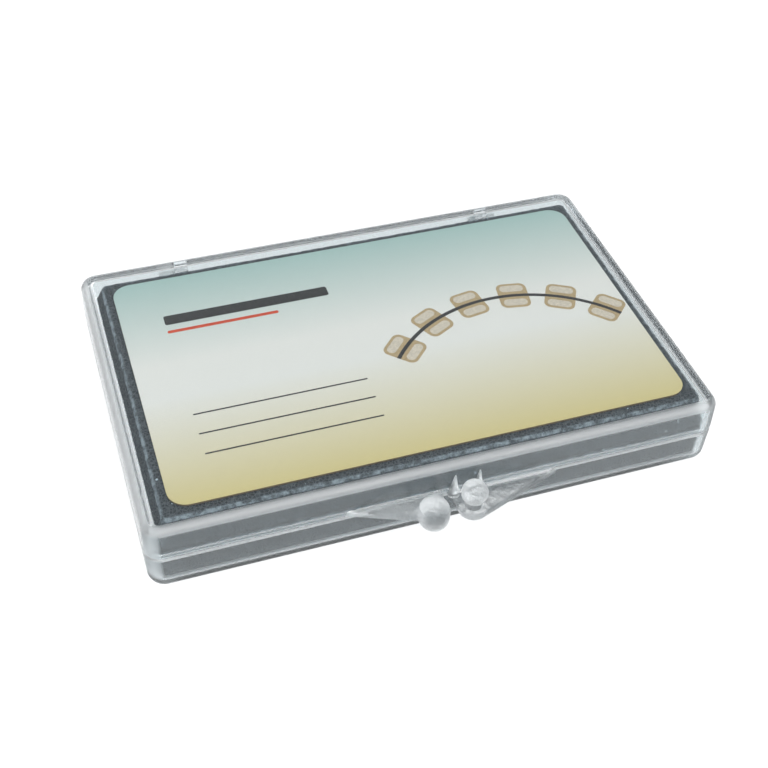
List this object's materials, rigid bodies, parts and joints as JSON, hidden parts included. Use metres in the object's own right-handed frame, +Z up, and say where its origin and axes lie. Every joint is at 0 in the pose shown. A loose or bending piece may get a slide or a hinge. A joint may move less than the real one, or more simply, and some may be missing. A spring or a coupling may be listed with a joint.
{
  "type": "hinged plastic box",
  "caption": "Flat clear plastic box with a back-hinged lid, finger tabs with beads at the front, a printed card under the lid and dark foam pads inside.",
  "frame": {"origin": "centre of the underside, where the box rests", "axes": "+X along the long side to the right, +Y to the hinge at the back, +Z up; the finger tabs are at the front, -Y"},
  "size_m": [0.098, 0.0728, 0.014],
  "materials": {
    "clear_plastic": "clear moulded polystyrene, polished",
    "printed_card": "satin print fading from teal through white to khaki",
    "foam": "charcoal open-cell foam"
  },
  "bodies": {
    "base": {"base": "clear_plastic", "base_pad": "foam"},
    "lid": {"lid": "clear_plastic", "card": "printed_card", "lid_pad": "foam"}
  },
  "joints": [
    {"name": "lid_hinge", "type": "hinge", "parent": "base", "child": "lid", "pos_m": [0, 0.0337, 0.0076], "axis": [-1, 0, 0], "range_deg": [0, 180]}
  ]
}
